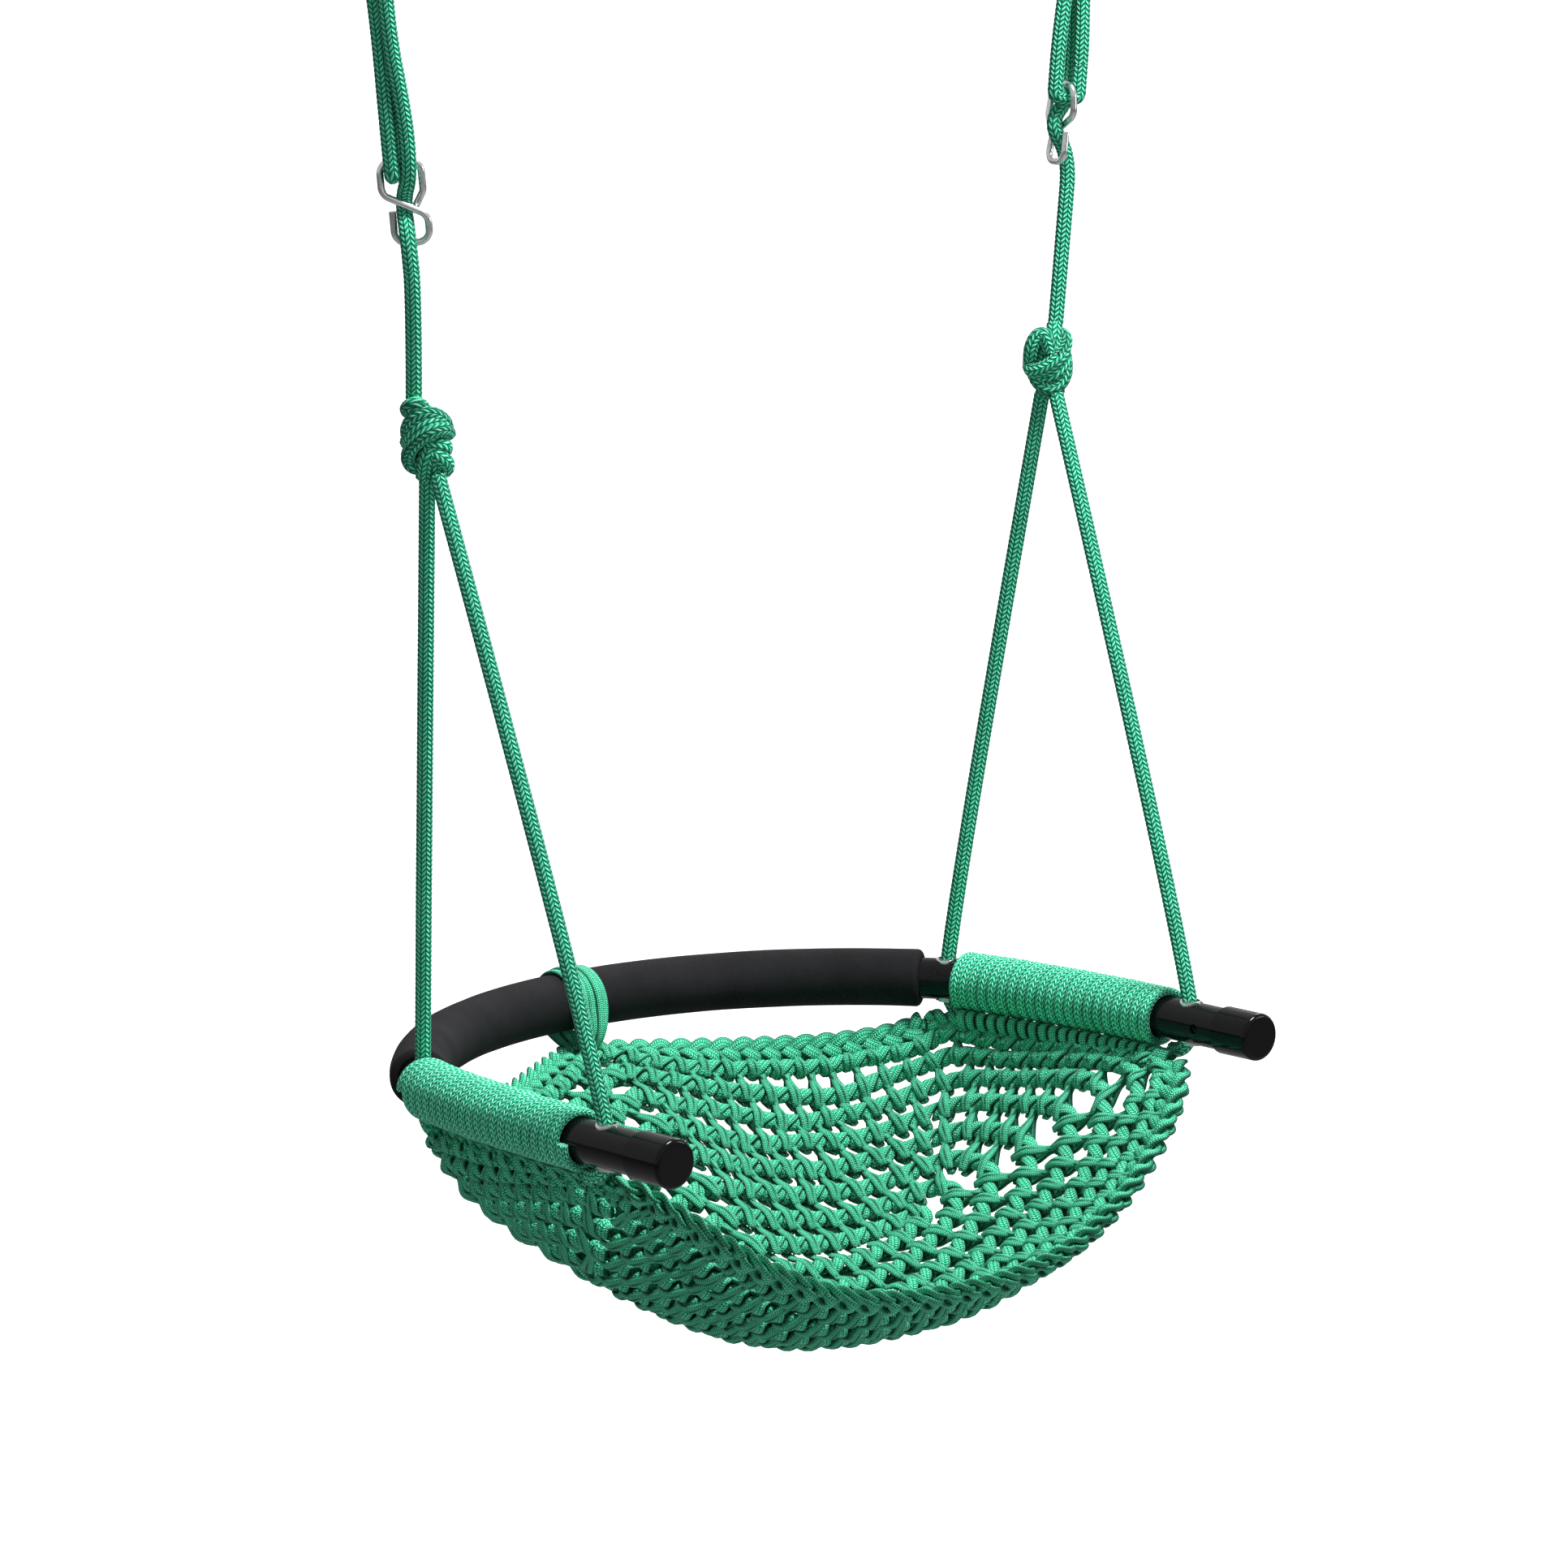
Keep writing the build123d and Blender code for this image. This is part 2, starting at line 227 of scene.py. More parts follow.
def ramp(nodes, links, factor, stops):
    node = nodes.new("ShaderNodeValToRGB")
    while len(node.color_ramp.elements) < len(stops):
        node.color_ramp.elements.new(0.5)
    for element, (position, color) in zip(node.color_ramp.elements, stops):
        element.position = position
        element.color = (*color, 1)
    links.new(factor, node.inputs[0])
    return node.outputs[0]


def noise(nodes, links, scale, detail, coordinates):
    node = nodes.new("ShaderNodeTexNoise")
    node.inputs["Scale"].default_value = scale
    node.inputs["Detail"].default_value = detail
    links.new(coordinates, node.inputs["Vector"])
    return node.outputs["Fac"]


def object_coordinates(nodes):
    return nodes.new("ShaderNodeTexCoord").outputs["Object"]


def bump(nodes, links, shader, height, distance, strength=1.0):
    node = nodes.new("ShaderNodeBump")
    node.inputs["Strength"].default_value = strength
    node.inputs["Distance"].default_value = distance
    links.new(height, node.inputs["Height"])
    links.new(node.outputs[0], shader.inputs["Normal"])


def braid_material(name, colors, slope, depth, variation, columns, edge_shade, lightness=1.0):
    """Braided cord with painted shade darkening its two edges and the gaps between strands, and a painted
    highlight on each strand's crest. The UV map counts crossings along it and columns round it.
    """
    material, nodes, links, shader = new_material(name)
    uv = nodes.new("ShaderNodeUVMap")
    parts = nodes.new("ShaderNodeSeparateXYZ")
    links.new(uv.outputs[0], parts.inputs[0])
    along, around = parts.outputs[0], parts.outputs[1]
    zigzag = math_node(nodes, links, "PINGPONG", around, 1.0)
    climb = math_node(nodes, links, "MULTIPLY", zigzag, slope)
    phase = math_node(nodes, links, "ADD", along, climb)
    strand = math_node(nodes, links, "PINGPONG", phase, 0.5)
    strand = math_node(nodes, links, "MULTIPLY", strand, 2.0)
    # The seams between columns pull the height to zero, which dents the bump and also paints shade into the
    # gaps through the ramp below.
    seam = math_node(nodes, links, "PINGPONG", around, 0.5)
    seam = math_node(nodes, links, "MULTIPLY", seam, 5.0, clamp=True)
    height = math_node(nodes, links, "MULTIPLY", strand, seam)
    height = math_node(nodes, links, "POWER", height, 0.8)
    place = object_coordinates(nodes)
    cloudy = noise(nodes, links, 60.0, 3.0, place)
    fine = noise(nodes, links, 1400.0, 2.0, place)
    uneven = math_node(nodes, links, "SUBTRACT", fine, 0.5)
    uneven = math_node(nodes, links, "MULTIPLY", uneven, variation)
    tone = math_node(nodes, links, "ADD", height, uneven, clamp=True)
    # The ramp paints shade at the lowest height and a highlight at each strand's crest, around the cord's
    # own greens.
    color = ramp(nodes, links, tone, colors)
    shade = math_node(nodes, links, "MULTIPLY", cloudy, 0.5 * lightness)
    shade = math_node(nodes, links, "ADD", shade, 0.75 * lightness)
    # Painted shade: the colour darkens towards the cord's two edges by edge_shade, standing in for the shade
    # where cords meet and crease.
    edge = math_node(nodes, links, "MULTIPLY", around, 2 * math.pi / columns)
    edge = math_node(nodes, links, "COSINE", edge)
    edge = math_node(nodes, links, "ABSOLUTE", edge)
    edge = math_node(nodes, links, "POWER", edge, 4.0)
    edge = math_node(nodes, links, "MULTIPLY", edge, edge_shade)
    edge = math_node(nodes, links, "SUBTRACT", 1.0, edge)
    shade = math_node(nodes, links, "MULTIPLY", shade, edge)
    tint = nodes.new("ShaderNodeHueSaturation")
    links.new(color, tint.inputs["Color"])
    links.new(shade, tint.inputs["Value"])
    links.new(tint.outputs[0], shader.inputs["Base Color"])
    shader.inputs["Roughness"].default_value = 0.45
    shader.inputs["Specular IOR Level"].default_value = 0.07
    bump(nodes, links, shader, height, depth)
    return material


def rope_material(name, columns, edge_shade, lightness):
    # Stops run from painted shade at the bottom, through the rope's own greens, to a near-white painted
    # highlight at the top.
    colors = [(0.0, (0.0002, 0.14, 0.05)), (0.3, (0.006, 0.42, 0.20)), (0.62, (0.06, 0.66, 0.40)),
              (0.9, (0.44, 0.98, 0.78))]
    return braid_material(name, colors, braid_slope, 0.0008, 0.35, columns, edge_shade, lightness)


def net_material():
    # Stops run from painted shade, through the cord's own greens, to a near-white painted highlight;
    # edge_shade 0.75 paints dark shade along each cord's edges.
    colors = [(0.0, (0.0002, 0.15, 0.05)), (0.3, (0.006, 0.42, 0.19)), (0.65, (0.07, 0.66, 0.40)),
              (1.0, (0.42, 0.97, 0.76))]
    return braid_material("flat_braid", colors, 0.8, 0.0004, 0.5, cord_columns, 0.75, 1.06)


def foam_material():
    """Fine-celled black foam: matte, with pits and a little grey bloom."""
    material, nodes, links, shader = new_material("foam")
    place = object_coordinates(nodes)
    speck = noise(nodes, links, 2600.0, 2.0, place)
    cloud = noise(nodes, links, 40.0, 4.0, place)
    tone = math_node(nodes, links, "MULTIPLY", speck, 0.6)
    tone = math_node(nodes, links, "ADD", tone, math_node(nodes, links, "MULTIPLY", cloud, 0.4))
    color = ramp(nodes, links, tone, [(0.3, (0.006, 0.006, 0.007)), (0.7, (0.021, 0.021, 0.023))])
    links.new(color, shader.inputs["Base Color"])
    shader.inputs["Roughness"].default_value = 0.82
    shader.inputs["Specular IOR Level"].default_value = 0.1
    bump(nodes, links, shader, speck, 0.00025, 0.8)
    return material


def gloss_material(name, color, roughness, ripple):
    """Gloss black paint or PVC, with dust, faint ripples and rubbed patches."""
    material, nodes, links, shader = new_material(name)
    place = object_coordinates(nodes)
    dust = noise(nodes, links, 900.0, 4.0, place)
    rub = noise(nodes, links, 35.0, 3.0, place)
    tone = ramp(nodes, links, dust, [(0.35, color), (0.75, tuple(c * 1.8 + 0.002 for c in color))])
    links.new(tone, shader.inputs["Base Color"])
    rough = math_node(nodes, links, "MULTIPLY", rub, 0.1)
    rough = math_node(nodes, links, "ADD", rough, roughness)
    links.new(rough, shader.inputs["Roughness"])
    shader.inputs["Specular IOR Level"].default_value = 0.2
    bump(nodes, links, shader, rub, ripple, 0.5)
    return material


def metal_material(name, color, roughness, grain):
    """Drawn or plated metal with fine grain and tarnish."""
    material, nodes, links, shader = new_material(name)
    place = object_coordinates(nodes)
    fine = noise(nodes, links, grain, 3.0, place)
    cloud = noise(nodes, links, 120.0, 3.0, place)
    dark = tuple(c * 0.72 for c in color)
    links.new(ramp(nodes, links, cloud, [(0.3, dark), (0.6, color)]), shader.inputs["Base Color"])
    rough = math_node(nodes, links, "MULTIPLY", fine, 0.2)
    rough = math_node(nodes, links, "ADD", rough, roughness)
    links.new(rough, shader.inputs["Roughness"])
    shader.inputs["Metallic"].default_value = 1.0
    bump(nodes, links, shader, fine, 0.00006, 0.5)
    return material


# ---------------------------------------------------------------- mesh code

def signed_power(value, power):
    """A power that keeps the value's sign, for rounded ovals."""
    return np.sign(value) * np.abs(value) ** power


def unit(vectors):
    """The vectors at length one."""
    vectors = np.asarray(vectors, float)
    return vectors / np.maximum(np.linalg.norm(vectors, axis=-1, keepdims=True), 1e-12)


def row_frame(points):
    """Millimetres from the tube's plane to metres in the frame."""
    return (np.asarray(points, float) - (0, 0, hang_height)) * MM


class Build:
    """Gathers swept cords and writes them as one mesh with a UV map."""

    def __init__(self):
        self.points, self.quads, self.quad_uv, self.tris, self.tri_uv = [], [], [], [], []
        self.count = 0

    def sweep(self, points, normals, half_width, half_thick, sides=10, square=0.8, columns=cord_columns,
              pitch=cord_pitch, closed=False, relief=0.0):
        """A cord of oval section along points; normals give the direction of its thickness.

        The braid's strands stand out by relief. It has as many columns round the cord as columns says, and
        a crossing at every pitch.
        """
        points = np.asarray(points, float)
        step = np.linalg.norm(np.diff(points, axis=0), axis=1)
        if closed:
            step = np.append(step, np.linalg.norm(points[0] - points[-1]))
            tangents = unit(np.roll(points, -1, 0) - np.roll(points, 1, 0))
        else:
            tangents = unit(np.gradient(points, axis=0))
        normals = np.asarray(normals, float)
        normals = unit(normals - (normals * tangents).sum(1, keepdims=True) * tangents)
        across = np.cross(tangents, normals)
        length = np.concatenate([[0], np.cumsum(step)])
        along = length / pitch
        angle = np.linspace(0, 2 * math.pi, sides, endpoint=False)
        wide, thick = signed_power(np.cos(angle), square), signed_power(np.sin(angle), square)
        width = np.broadcast_to(half_width, len(points))[:, None] * wide[None, :]
        height = np.broadcast_to(half_thick, len(points))[:, None] * thick[None, :]
        if relief:
            column = angle / (2 * math.pi) * columns
            zigzag = np.abs((column + 1) % 2 - 1)
            phase = along[: len(points), None] + braid_slope * zigzag[None, :]
            strand = np.abs(2 * (phase % 1) - 1)
            grow = 1 + relief * (0.6 - strand) / rope_r
            width, height = width * grow, height * grow
        rings = points[:, None, :] + width[..., None] * across[:, None, :]
        rings = rings + height[..., None] * normals[:, None, :]
        rows = len(points)
        base = self.count + np.arange(rows)[:, None] * sides
        j = np.arange(sides)
        following = (j + 1) % sides
        first, second = base[:-1], base[1:]
        if closed:
            first, second = base, np.roll(base, -1, 0)
        quads = np.stack([first + j, second + j, second + following, first + following], -1)
        u0, u1 = along[:-1, None] + 0 * j, along[1:, None] + 0 * j
        v0, v1 = j / sides * columns + 0 * u0, (j + 1) / sides * columns + 0 * u0
        uv = np.stack([np.stack([u0, v0], -1), np.stack([u1, v0], -1), np.stack([u1, v1], -1),
                       np.stack([u0, v1], -1)], 2)
        self.points.append(rings.reshape(-1, 3))
        self.quads.append(quads.reshape(-1, 4))
        self.quad_uv.append(uv.reshape(-1, 4, 2))
        self.count += rows * sides
        if not closed:
            starts, ends = points[0] - tangents[0] * end_bulge, points[-1] + tangents[-1] * end_bulge
            self.close_end(starts, base[0, 0], sides, columns, along[0], flip=True)
            self.close_end(ends, base[-1, 0], sides, columns, along[-1], flip=False)

    def close_end(self, tip, first, sides, columns, u, flip):
        """Closes a sweep's end with a fan of triangles about its tip."""
        j = np.arange(sides)
        middle = np.full(sides, self.count)
        a, b = first + j, first + (j + 1) % sides
        tris = np.stack([a, middle, b] if not flip else [b, middle, a], -1)
        self.points.append(np.asarray(tip, float)[None, :])
        self.tris.append(tris)
        uv = np.stack([np.full(sides * 3, u), np.repeat(j / sides * columns, 3)], -1)
        self.tri_uv.append(uv.reshape(-1, 3, 2))
        self.count += 1

    def object(self, name, material):
        """The gathered cords as an object in the scene."""
        points = row_frame(np.concatenate(self.points))
        quads = np.concatenate(self.quads)
        tris = np.concatenate(self.tris) if self.tris else np.zeros((0, 3), int)
        corners = np.concatenate([quads.reshape(-1), tris.reshape(-1)])
        uv = [np.concatenate(self.quad_uv).reshape(-1, 2)]
        if self.tris:
            uv.append(np.concatenate(self.tri_uv).reshape(-1, 2))
        starts = np.concatenate([np.arange(len(quads)) * 4, len(quads) * 4 + np.arange(len(tris)) * 3])
        mesh = bpy.data.meshes.new(name)
        mesh.vertices.add(len(points))
        mesh.vertices.foreach_set("co", points.astype(np.float32).reshape(-1))
        mesh.loops.add(len(corners))
        mesh.loops.foreach_set("vertex_index", corners.astype(np.int32))
        mesh.polygons.add(len(starts))
        mesh.polygons.foreach_set("loop_start", starts.astype(np.int32))
        mesh.update(calc_edges=True)
        mesh.uv_layers.new(name="UVMap")
        mesh.uv_layers[0].data.foreach_set("uv", np.concatenate(uv).astype(np.float32).reshape(-1))
        mesh.polygons.foreach_set("use_smooth", np.ones(len(starts), bool))
        mesh.materials.append(material)
        mesh.validate()
        piece = bpy.data.objects.new(name, mesh)
        bpy.context.scene.collection.objects.link(piece)
        return piece


def smooth_route(points):
    """Points in millimetres along the NURBS line of a route, which has those control points."""
    curve = bpy.data.curves.new("route", "CURVE")
    curve.dimensions = "3D"
    curve.resolution_u = 32
    spline = curve.splines.new("NURBS")
    spline.points.add(len(points) - 1)
    for control, point in zip(spline.points, points):
        control.co = (*point, 1)
    spline.order_u = 3
    spline.use_endpoint_u = True
    holder = bpy.data.objects.new("route", curve)
    mesh = bpy.data.meshes.new_from_object(holder)
    line = np.array([v.co for v in mesh.vertices], float)
    bpy.data.objects.remove(holder)
    bpy.data.curves.remove(curve)
    bpy.data.meshes.remove(mesh)
    return line


def even(line, step):
    """The line's points moved to even steps."""
    length = np.concatenate([[0], np.cumsum(np.linalg.norm(np.diff(line, axis=0), axis=1))])
    count = max(int(round(length[-1] / step)), 4)
    at = np.linspace(0, length[-1], count + 1)
    return np.stack([np.interp(at, length, line[:, i]) for i in range(3)], -1)


def carried_normals(line, first):
    """Normals carried along a line without twist."""
    tangents = unit(np.gradient(line, axis=0))
    normals = [unit(np.asarray(first, float) - np.dot(first, tangents[0]) * tangents[0])]
    for tangent in tangents[1:]:
        normal = normals[-1] - np.dot(normals[-1], tangent) * tangent
        normals.append(unit(normal))
    return np.array(normals)


# ---------------------------------------------------------------- bent tube's line

def arm_line(distance):
    """Centre line of the right half of the tube: point and tangent at a distance from its front end."""
    distance = np.atleast_1d(np.asarray(distance, float))
    lengths = [bow_start_y - tube_front_y, bow_radius * bow_turn, corner_radius * corner_turn]
    ends = np.cumsum(lengths)
    bow_centre = np.array([arm_x - bow_radius, bow_start_y])
    out = lambda angle: np.stack([np.cos(angle), np.sin(angle)], -1)
    corner_centre = bow_centre + (bow_radius - corner_radius) * out(bow_turn)
    turned = bow_turn + corner_turn
    corner_end = corner_centre + corner_radius * out(turned)
    back_radius = corner_end[0] / math.cos(turned)
    back_centre = corner_end - back_radius * out(turned)
    points = np.stack([np.full(len(distance), arm_x), tube_front_y + distance], -1)
    angles = np.zeros(len(distance))
    stages = ((ends[0], bow_centre, bow_radius, 0.0), (ends[1], corner_centre, corner_radius, bow_turn),
              (ends[2], back_centre, back_radius, turned))
    for start, centre, radius, angle in stages:
        inside = distance > start
        turn = angle + (distance - start) / radius
        points = np.where(inside[:, None], centre + radius * out(turn), points)
        angles = np.where(inside, turn, angles)
    flat = np.zeros((len(distance), 1))
    tangents = np.stack([-np.sin(angles), np.cos(angles)], -1)
    return np.hstack([points, flat]), np.hstack([tangents, flat])


def distance_at(y):
    """How far along the right half the centre line reaches y, ahead of the back bend."""
    at = np.linspace(0, 400, 4001)
    return float(np.interp(y, arm_line(at)[0][:, 1], at))


def back_distance():
    """How far along the right half the centre line crosses the middle of the back."""
    at = np.linspace(0, 600, 6001)
    points = arm_line(at)[0]
    return float(at[np.argmax(points[:, 0] <= 0)])


tube_half_length = back_distance()


def mirrored(points, side):
    """Points of the right half, moved to a side."""
    return np.asarray(points, float) * (side, 1, 1)


# ---------------------------------------------------------------- net surface

def net_depth(v):
    """The net's depth on its middle line: the smooth curve through net_depths."""
    total = 0.0
    for at, depth in net_depths:
        weight = 1.0
        for other, _ in net_depths:
            if other != at:
                weight = weight * (v - other) / (at - other)
        total = total + weight * depth
    return total


def net_point(u, v):
    """The net's middle surface; u runs arm to arm, v front edge to back edge."""
    angle = math.pi / 2 * u
    across = np.sin(angle)
    half = net_half_front + (net_half_rear - net_half_front) * v**3
    pull = np.clip(v, 0, 1) ** net_pull
    edge_y = net_front_y + (net_rear_y - net_front_y) * v
    reach = -net_bulge + (net_back_y - net_rear_y + net_bulge) * v
    plan = (1 - pull) * np.cos(angle) + pull * (1 - np.abs(across))
    hang = np.maximum(1 - np.abs(across) ** net_fullness, 0) ** net_sharpness
    sag = (1 - pull) * hang + pull * np.sin(math.pi * np.abs(u))
    z = net_edge_z - net_depth(v) * sag - pull * net_rise * np.cos(angle)
    return np.stack([half * across, edge_y + reach * plan, z], -1)


def net_normal(u, v):
    """Unit normals of the net, towards the sitter."""
    step = 0.012
    u = np.clip(u, -0.97, 0.97)
    v = np.clip(v, 0.02, 0.98)
    along_u = net_point(u + step, v) - net_point(u - step, v)
    along_v = net_point(u, v + step) - net_point(u, v - step)
    return unit(np.cross(along_u, along_v))


class NetLine:
    """A closed or open line on the net, measured along its length."""

    def __init__(self, u, v, closed):
        points = net_point(u, v)
        normals = net_normal(u, v)
        self.closed = closed
        self.at = np.concatenate([[0], np.cumsum(np.linalg.norm(np.diff(points, axis=0), axis=1))])
        self.length = self.at[-1]
        self.points, self.normals = points, normals

    def look_up(self, distance):
        """Points, tangents, normals and directions across the line at distances along it."""
        if self.closed:
            distance = np.mod(distance, self.length)
        take = lambda values: np.stack([np.interp(distance, self.at, values[:, i]) for i in range(3)], -1)
        points, normals = take(self.points), unit(take(self.normals))
        ahead = np.mod(distance + 1.0, self.length) if self.closed else distance + 1.0
        behind = np.mod(distance - 1.0, self.length) if self.closed else distance - 1.0
        sample = lambda at: np.stack([np.interp(at, self.at, self.points[:, i]) for i in range(3)], -1)
        tangents = unit(sample(ahead) - sample(behind))
        return points, tangents, normals, np.cross(normals, tangents)


def net_ring(share):
    """One row of the crochet, a rounded oval; share 0 is the middle and 1 the net's edge."""
    angle = np.linspace(0, 2 * math.pi, 1441)
    power = 2 / (2.6 + 11 * share**3)
    u = (net_core_u + net_row_u * share) * signed_power(np.cos(angle), power)
    v = 0.5 + net_row_v * share * signed_power(np.sin(angle), power)
    along = np.concatenate([[0], np.cumsum(np.hypot(np.diff(u), np.diff(v)))])
    steps = np.linspace(0, along[-1], 1601)
    u, v = np.interp(steps, along, u), np.interp(steps, along, v)
    wave = random.uniform(0, 2 * math.pi, 3)
    for count, phase in zip((7, 11, 17), wave):
        v = v + 0.004 * share * np.sin(2 * math.pi * count * steps / along[-1] + phase)
    return NetLine(u, v, closed=True)


def crochet_row(build, ring, spacing):
    """The row's wraps: a flat cord coiled along the row, two turns to a stitch."""
    stitches = max(int(round(ring.length / stitch)), 6)
    turns = 2 * stitches
    per_turn = 20
    step = np.arange(turns * per_turn)
    angle = 2 * math.pi * step / per_turn
    base = ring.length * step / len(step)
    wobble = np.interp(step, np.arange(0, len(step) + 1, per_turn),
                       random.normal(0, 1, turns + 1))
    beat = np.cos(angle / 2 + 0.6)
    slant = 2.8 + 1.6 * beat
    high = 0.205 * spacing * (1 + 0.16 * beat + 0.10 * wobble)
    deep = 3.0 + 0.9 * beat + 0.25 * wobble
    points, _, normals, across = ring.look_up(base + slant * np.sin(angle) + 0.7 * wobble)
    place = points + (high * np.sin(angle))[:, None] * across + (deep * np.cos(angle))[:, None] * normals
    facing = (np.sin(angle) / high)[:, None] * across + (np.cos(angle) / deep)[:, None] * normals
    width = cord_half_width * (1.05 + 0.32 * beat)
    build.sweep(place, facing, width, cord_half_thick, closed=True)
    return (np.arange(stitches) + 0.3) * ring.length / stitches


def posts(build, inner, outer, stations):
    """Strands that cross a row on both faces and join it to the next row out."""
    points, tangents, normals, _ = inner.look_up(stations)
    t = np.linspace(-0.42, 0.95, 13)[:, None]
    crest = np.exp(-((t / 0.36) ** 2))
    for point, tangent, normal in zip(points, tangents, normals):
        nearest = np.argmin(((outer.points - point) ** 2).sum(1))
        target = outer.points[nearest]
        mean_normal = unit(normal * (1 - t) + outer.normals[nearest] * t)
        lean = random.normal(0, 1.0)
        skew = random.normal(0, 1.0)
        for face in (-1, 1):
            height = face * (1.0 + (post_height + random.normal(0, 0.3)) * crest)
            for side in (-1, 1):
                sway = side * 1.8 * np.cos(math.pi * t * 0.8) + lean * t + (2.2 + skew) * (t - 0.3)
                line = point * (1 - t) + target * t + sway * tangent + height * mean_normal
                facing = face * mean_normal + side * 0.5 * tangent
                build.sweep(line, facing, 2.05, 1.3, sides=8)


def braid(build, line, start, end, pitch, amplitude, depth, half_width, strands=3, lift=0.0):
    """A flat plait of cords along a line."""
    count = int((end - start) / pitch * 40)
    at = np.linspace(start, end, count)
    points, _, normals, across = line.look_up(at)
    for k in range(strands):
        angle = 2 * math.pi * ((at - start) / pitch + k / strands)
        side = amplitude * np.sin(angle)
        rise = depth * np.sin(2 * angle) + lift
        place = points + side[:, None] * across + rise[:, None] * normals
        facing = normals + 0.35 * np.cos(2 * angle)[:, None] * across
        build.sweep(place, facing, half_width, cord_half_thick * 1.1, sides=12)


def finish_soft(piece, slot_name, *nodes):
    """Attaches a piece that rides on the seat to the seat's body and hides the frame's parts that it
    replaces.
    """
    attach(piece, "seat")
    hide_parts(*nodes)


def make_net(material):
    """The crocheted bowl: rows of stitches, the posts between them, and plaited borders."""
    shares = (np.arange(net_rings) + 0.5) / (net_rings - 0.1)
    rings = [net_ring(share) for share in shares]
    spacing = net_row_span / net_rings
    stations = []
    for index, (low, high) in enumerate(net_row_groups):
        build = Build()
        for ring in rings[low:high]:
            stations.append(crochet_row(build, ring, spacing))
        finish_soft(build.object(f"net_rows_{index}", material), "net_cord", "seat_net")
    build = Build()
    edge = NetLine(*edge_track(), closed=True)
    for inner, outer, where in zip(rings, rings[1:] + [edge], stations):
        posts(build, inner, outer, where)
    finish_soft(build.object("net_posts", material), "net_cord", "seat_net")
    along = np.linspace(-net_end, net_end, 600)
    build = Build()
    front = NetLine(along, np.full(600, 0.0), closed=False)
    braid(build, front, 2, front.length - 2, 36.0, 5.4, 2.6, 4.1)
    braid(build, front, 2, front.length - 2, 30.0, 4.0, 2.0, 3.6, strands=2, lift=-4.0)
    finish_soft(build.object("net_front_border", material), "net_cord", "seat_net")
    build = Build()
    back = NetLine(along, np.full(600, 1.0), closed=False)
    braid(build, back, 2, back.length - 2, 38.0, 4.8, 2.4, 4.0)
    finish_soft(build.object("net_back_border", material), "net_cord", "seat_net")
    build = Build()
    across = np.linspace(0.0, 1.0, 600)
    for edge_u in (-net_end, net_end):
        side = NetLine(np.full(600, edge_u), across, closed=False)
        braid(build, side, 1, side.length - 1, 30.0, 4.5, 2.0, 3.2)
    finish_soft(build.object("net_side_borders", material), "net_cord", "seat_net")


def edge_track():
    """The net's outline, as u and v."""
    n = 360
    side = np.linspace(0, 1, n)
    ends = np.full(n, net_edge_u)
    along = np.linspace(-net_edge_u, net_edge_u, n)
    u = np.concatenate([along, ends, -along, -ends])
    v = np.concatenate([np.zeros(n), side, np.ones(n), side[::-1]])
    return u, v


# ---------------------------------------------------------------- windings, foam, lacing, lashing

def make_winding(side, material):
    """Rope wound round an arm, turn against turn."""
    start = distance_at(front_hole_y) + winding_front_gap
    end = distance_at(rear_hole_y) - winding_rear_gap + winding_spill
    turns = int((end - start - winding_pitch) / winding_pitch)
    pitch = (end - start - 0.3) / (turns + 1)
    radius = tube_r + soft_gap + winding_t / 2
    angle = np.linspace(0, 2 * math.pi * turns, turns * 72)
    if side < 0:
        angle = angle[::-1]
    travel = start + pitch / 2 + np.linspace(0, 1, len(angle)) * pitch * turns
    points, tangents = arm_line(travel)
    out = np.cos(angle)[:, None] * np.cross(tangents, upward) + np.sin(angle)[:, None] * upward
    knees = np.linspace(angle.min(), angle.max(), turns * 3)
    wander = np.interp(angle, knees, random.normal(0, 0.12, turns * 3))
    place = points + (radius + wander)[:, None] * out
    build = Build()
    build.sweep(mirrored(place, side), mirrored(out, side), pitch * 0.5, winding_t / 2, sides=28,
                columns=winding_columns, pitch=rope_pitch, relief=0.35)
    piece = build.object(f"winding_{side_names[side]}", material)
    finish_soft(piece, "rope", f"arm_winding_{side_names[side]}")


